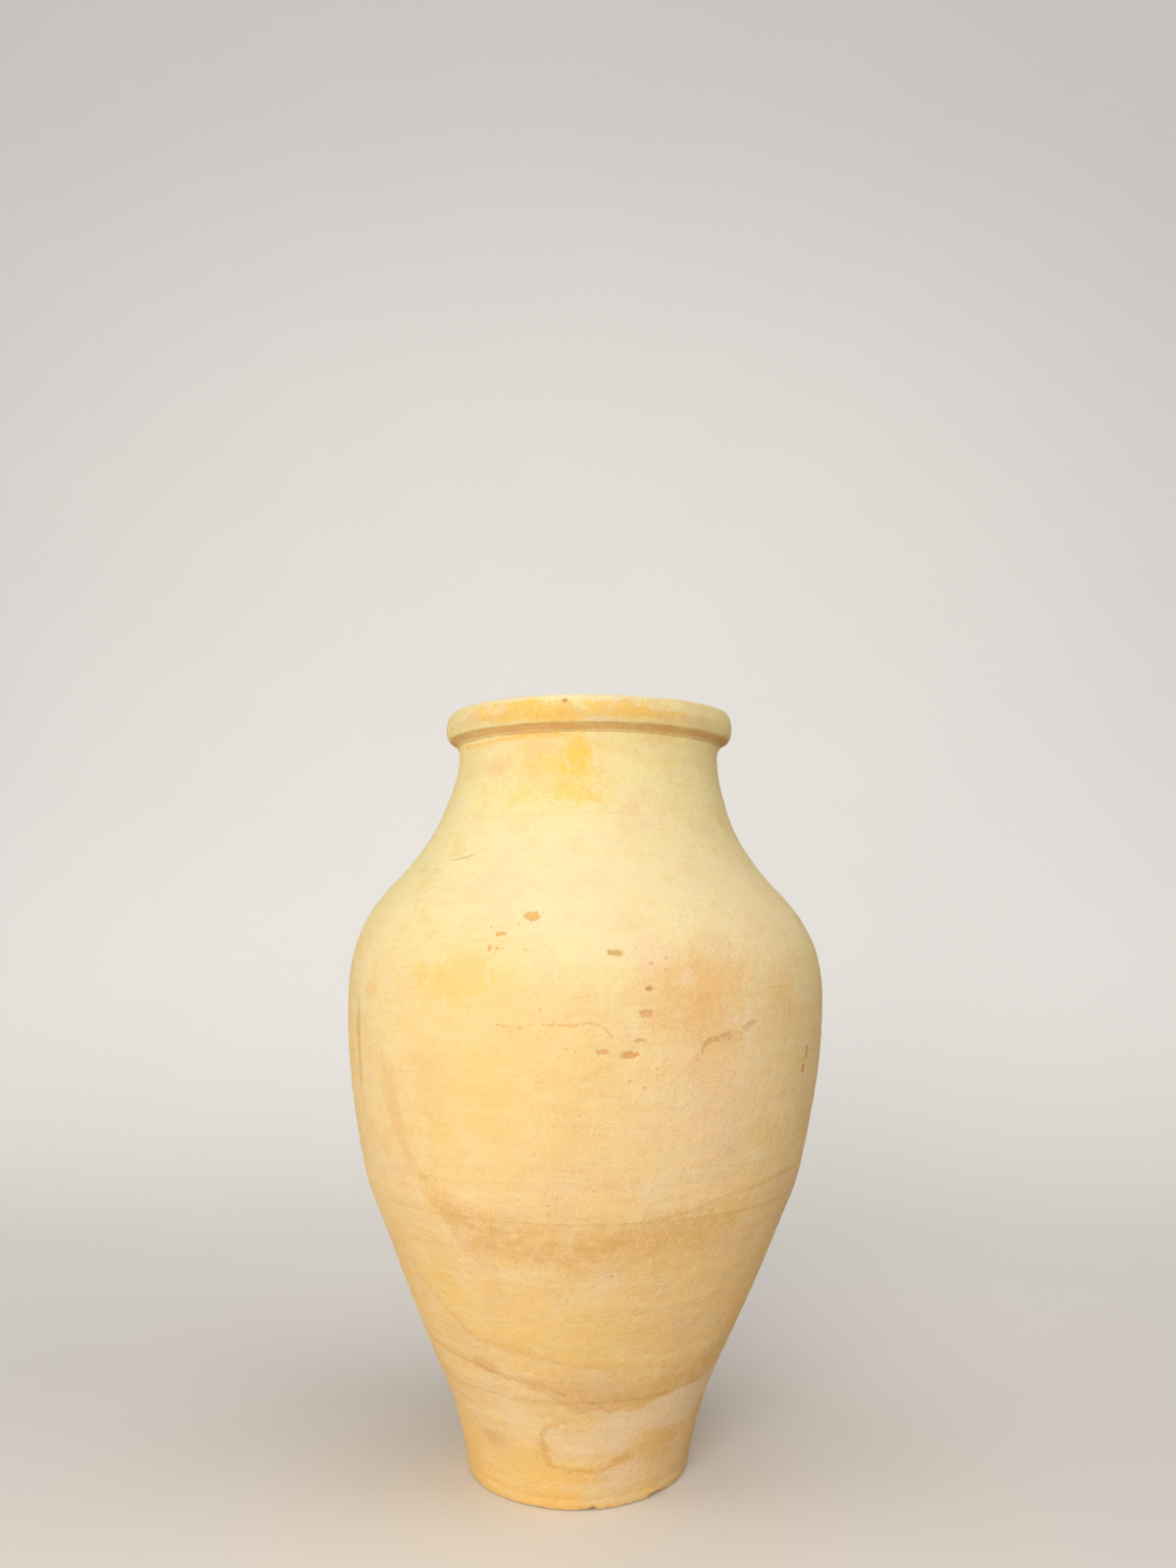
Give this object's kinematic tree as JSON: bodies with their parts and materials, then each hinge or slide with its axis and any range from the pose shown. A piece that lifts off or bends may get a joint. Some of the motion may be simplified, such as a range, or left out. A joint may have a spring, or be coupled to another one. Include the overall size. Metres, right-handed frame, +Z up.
{
  "type": "water jar",
  "caption": "Tall unglazed clay water jar with a narrow foot, a wide high belly, a drawn-in neck and a rolled rim.",
  "frame": {"origin": "middle of the underside, on the surface that the jar stands on", "axes": "+Z up along the jar's axis, from the foot to the mouth; -Y is the side that faces the viewer"},
  "size_m": [0.4219, 0.422, 0.65],
  "materials": {
    "clay_body": "unglazed, matt, weathered",
    "clay_rim": "unglazed, matt, worn pale on top",
    "fired_slip": "unglazed, matt, fine",
    "clay_inside": "unglazed, matt, thumbed smooth"
  },
  "bodies": {
    "root": {"base_disc": "clay_body", "foot_section": "clay_body", "lower_section": "clay_body", "belly_section": "clay_body", "shoulder_section": "clay_body", "neck_section": "clay_body", "rim_roll": "clay_rim", "base_slip": "fired_slip", "foot_slip": "fired_slip", "waist_slip": "fired_slip", "shoulder_slip": "fired_slip", "neck_slip": "fired_slip", "rim_slip": "fired_slip", "corner_coil_inside": "clay_inside", "foot_coil_inside": "clay_inside", "waist_coil_inside": "clay_inside", "shoulder_coil_inside": "clay_inside", "neck_coil_inside": "clay_inside"}
  },
  "joints": []
}
